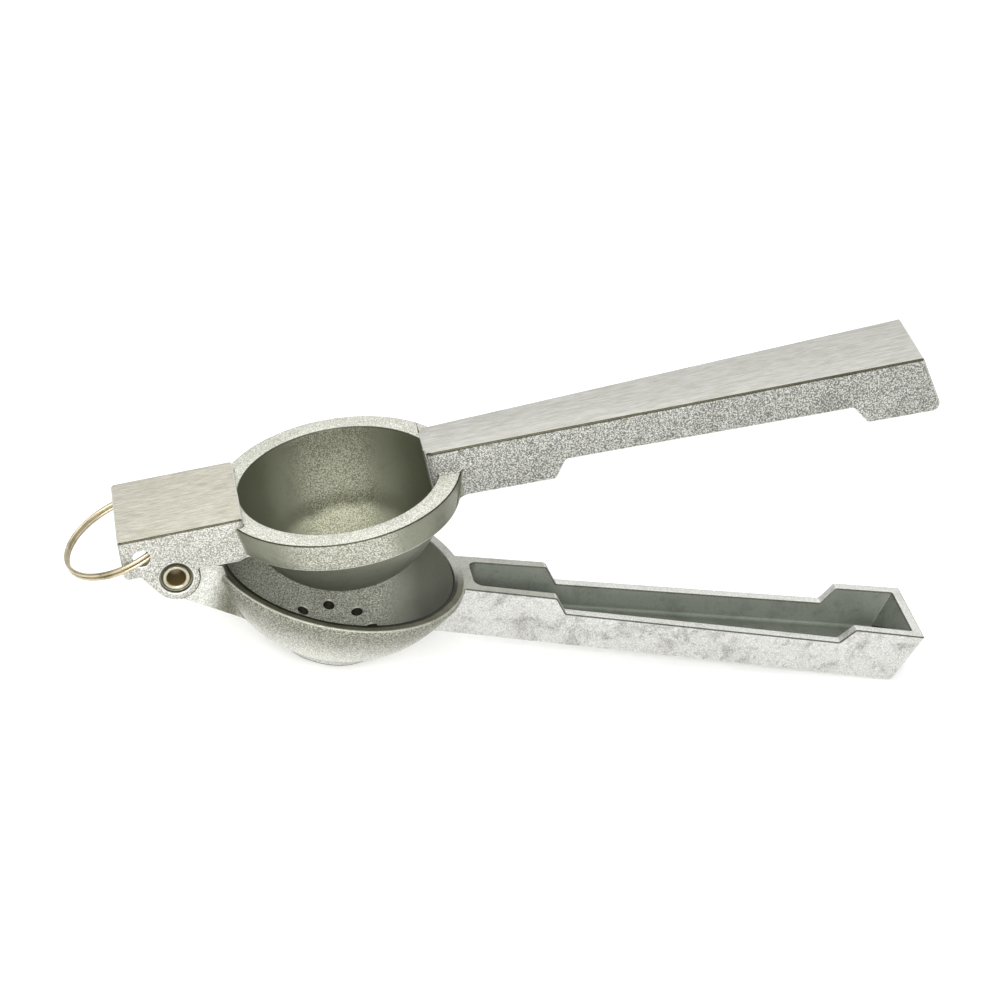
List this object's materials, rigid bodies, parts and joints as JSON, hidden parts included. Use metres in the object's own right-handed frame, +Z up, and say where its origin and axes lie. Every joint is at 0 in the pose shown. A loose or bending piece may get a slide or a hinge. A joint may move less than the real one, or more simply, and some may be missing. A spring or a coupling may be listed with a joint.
{
  "type": "lemon squeezer",
  "caption": "Hinged hand squeezer with a drained bowl below, a domed press cup above, two channel handles and a split hanging ring.",
  "frame": {"origin": "centre of the footprint's box, on the surface that the squeezer stands on", "axes": "+X from the hanging ring towards the handles' ends, +Y across the hinge pin, +Z up"},
  "size_m": [0.2546, 0.0744, 0.1085],
  "materials": {
    "cast_aluminium": "granular as-cast aluminium with a tumbled surface",
    "ground_aluminium": "cast aluminium with its top faces ground along the arm",
    "rivet_brass": "pale plated tube rivet, worn bright at its rolled edge",
    "ring_brass": "pale brass-plated spring wire"
  },
  "bodies": {
    "bowl": {"bowl_arm": "cast_aluminium"},
    "press": {"press_arm": "ground_aluminium", "hinge_rivet": "rivet_brass"},
    "ring": {"split_ring": "ring_brass"}
  },
  "joints": [
    {"name": "press_hinge", "type": "hinge", "parent": "bowl", "child": "press", "pos_m": [-0.09728, 0, 0.03019], "axis": [0, -1, 0], "range_deg": [-19.9, 116]},
    {"name": "ring_swing", "type": "hinge", "parent": "press", "child": "ring", "pos_m": [-0.10753, 0, 0.03562], "axis": [0, -1, 0], "range_deg": [-7, 0]}
  ]
}
